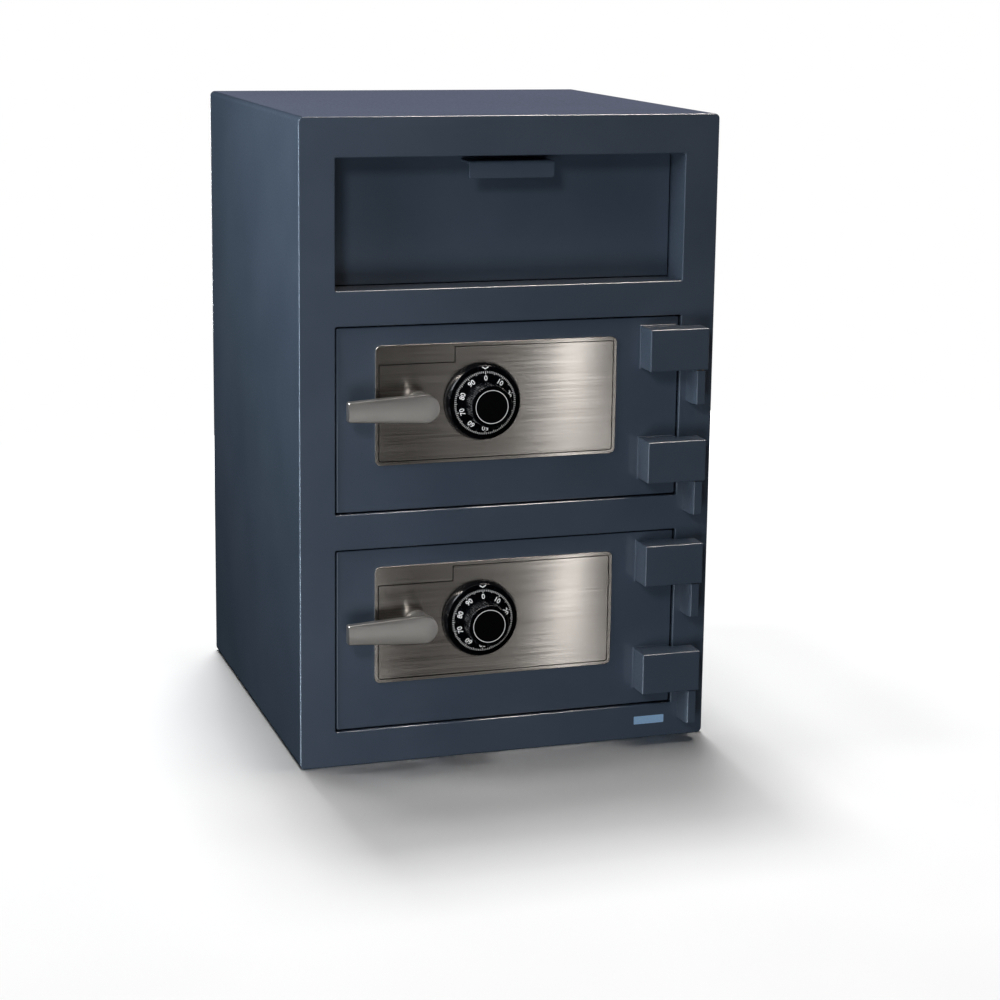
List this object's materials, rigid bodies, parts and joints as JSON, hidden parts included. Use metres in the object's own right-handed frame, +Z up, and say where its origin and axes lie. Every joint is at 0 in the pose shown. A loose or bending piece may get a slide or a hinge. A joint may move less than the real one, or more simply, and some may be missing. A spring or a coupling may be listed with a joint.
{
  "type": "drop safe with deposit hopper",
  "caption": "Floor-standing steel drop safe with a tilting deposit hopper above separately locked doors, each with a combination dial and a lever that throws its bolts.",
  "frame": {"origin": "centre of the base, on the floor", "axes": "+X to the right seen from the front, +Y to the back, +Z up; the doors face -Y"},
  "size_m": [0.508, 0.545, 0.762],
  "materials": {
    "body_paint": "satin dark blue-grey enamel",
    "door_paint": "satin dark blue-grey enamel",
    "inner_paint": "matt grey enamel",
    "trim_steel": "horizontally brushed stainless steel",
    "nickel": "satin nickel plate",
    "black_enamel": "gloss black enamel",
    "brass": "plain turned brass",
    "zinc_steel": "zinc-plated steel",
    "hard_steel": "hardened steel as rolled",
    "lock_alloy": "die-cast alloy"
  },
  "bodies": {
    "root": {"body_wrap": "body_paint", "front_frame": "body_paint", "rear_panel": "body_paint", "divider_shelf": "inner_paint", "hopper_housing": "inner_paint", "fishing_baffle": "inner_paint", "upper_top_hinge_post": "body_paint", "upper_bottom_hinge_post": "body_paint", "upper_top_hinge_washer": "brass", "upper_bottom_hinge_washer": "brass", "lower_top_hinge_post": "body_paint", "lower_bottom_hinge_post": "body_paint", "lower_top_hinge_washer": "brass", "lower_bottom_hinge_washer": "brass"},
    "hopper": {"hopper_panel": "door_paint", "pull_tab": "door_paint", "left_cheek": "inner_paint", "right_cheek": "inner_paint", "deposit_scoop": "inner_paint", "pivot_rod": "zinc_steel"},
    "upper_door": {"upper_door_plate": "door_paint", "upper_trim_plate": "trim_steel", "upper_top_hinge_block": "door_paint", "upper_bottom_hinge_block": "door_paint", "upper_inner_cover": "inner_paint", "upper_dead_bar": "zinc_steel", "upper_hard_plate": "hard_steel", "upper_lock_case": "lock_alloy", "upper_bolt_guide": "zinc_steel", "upper_handle_collar": "nickel", "upper_dial_ring": "black_enamel"},
    "upper_handle": {"upper_lever_handle": "nickel", "upper_handle_shaft": "zinc_steel", "upper_throw_crank": "zinc_steel"},
    "upper_bolts": {"upper_bolt_bar": "zinc_steel", "upper_top_bolt": "zinc_steel", "upper_bottom_bolt": "zinc_steel"},
    "upper_lock": {"upper_lock_bolt": "brass"},
    "upper_dial": {"upper_dial": "black_enamel", "upper_dial_spindle": "zinc_steel"},
    "lower_door": {"lower_door_plate": "door_paint", "lower_trim_plate": "trim_steel", "lower_top_hinge_block": "door_paint", "lower_bottom_hinge_block": "door_paint", "lower_inner_cover": "inner_paint", "lower_dead_bar": "zinc_steel", "lower_hard_plate": "hard_steel", "lower_lock_case": "lock_alloy", "lower_bolt_guide": "zinc_steel", "lower_handle_collar": "nickel", "lower_dial_ring": "black_enamel"},
    "lower_handle": {"lower_lever_handle": "nickel", "lower_handle_shaft": "zinc_steel", "lower_throw_crank": "zinc_steel"},
    "lower_bolts": {"lower_bolt_bar": "zinc_steel", "lower_top_bolt": "zinc_steel", "lower_bottom_bolt": "zinc_steel"},
    "lower_lock": {"lower_lock_bolt": "brass"},
    "lower_dial": {"lower_dial": "black_enamel", "lower_dial_spindle": "zinc_steel"}
  },
  "joints": [
    {"name": "hopper_tilt", "type": "hinge", "parent": "root", "child": "hopper", "pos_m": [0, -0.198, 0.572], "axis": [1, 0, 0], "range_deg": [0, 50]},
    {"name": "upper_door_swing", "type": "hinge", "parent": "root", "child": "upper_door", "pos_m": [0.2285, -0.27, 0.414], "axis": [0, 0, 1], "range_deg": [0, 170]},
    {"name": "upper_handle_turn", "type": "hinge", "parent": "upper_door", "child": "upper_handle", "pos_m": [-0.1135, -0.2525, 0.4305], "axis": [0, 1, 0], "range_deg": [0, 60]},
    {"name": "upper_bolt_throw", "type": "slide", "parent": "upper_door", "child": "upper_bolts", "axis": [-1, 0, 0], "range_m": [0, 0.032]},
    {"name": "upper_lock_throw", "type": "slide", "parent": "upper_door", "child": "upper_lock", "axis": [0, 0, -1], "range_m": [0, 0.009]},
    {"name": "upper_dial_turn", "type": "hinge", "parent": "upper_door", "child": "upper_dial", "pos_m": [-0.0355, -0.2525, 0.4305], "axis": [0, -1, 0], "continuous": true},
    {"name": "lower_door_swing", "type": "hinge", "parent": "root", "child": "lower_door", "pos_m": [0.2285, -0.27, 0.152], "axis": [0, 0, 1], "range_deg": [0, 170]},
    {"name": "lower_handle_turn", "type": "hinge", "parent": "lower_door", "child": "lower_handle", "pos_m": [-0.1135, -0.2525, 0.1685], "axis": [0, 1, 0], "range_deg": [0, 60]},
    {"name": "lower_bolt_throw", "type": "slide", "parent": "lower_door", "child": "lower_bolts", "axis": [-1, 0, 0], "range_m": [0, 0.032]},
    {"name": "lower_lock_throw", "type": "slide", "parent": "lower_door", "child": "lower_lock", "axis": [0, 0, -1], "range_m": [0, 0.009]},
    {"name": "lower_dial_turn", "type": "hinge", "parent": "lower_door", "child": "lower_dial", "pos_m": [-0.0355, -0.2525, 0.1685], "axis": [0, -1, 0], "continuous": true}
  ],
  "couplings": [
    {"joint": "upper_bolt_throw", "follows": "upper_handle_turn", "m_per_rad": 0.030557},
    {"joint": "lower_bolt_throw", "follows": "lower_handle_turn", "m_per_rad": 0.030557}
  ]
}
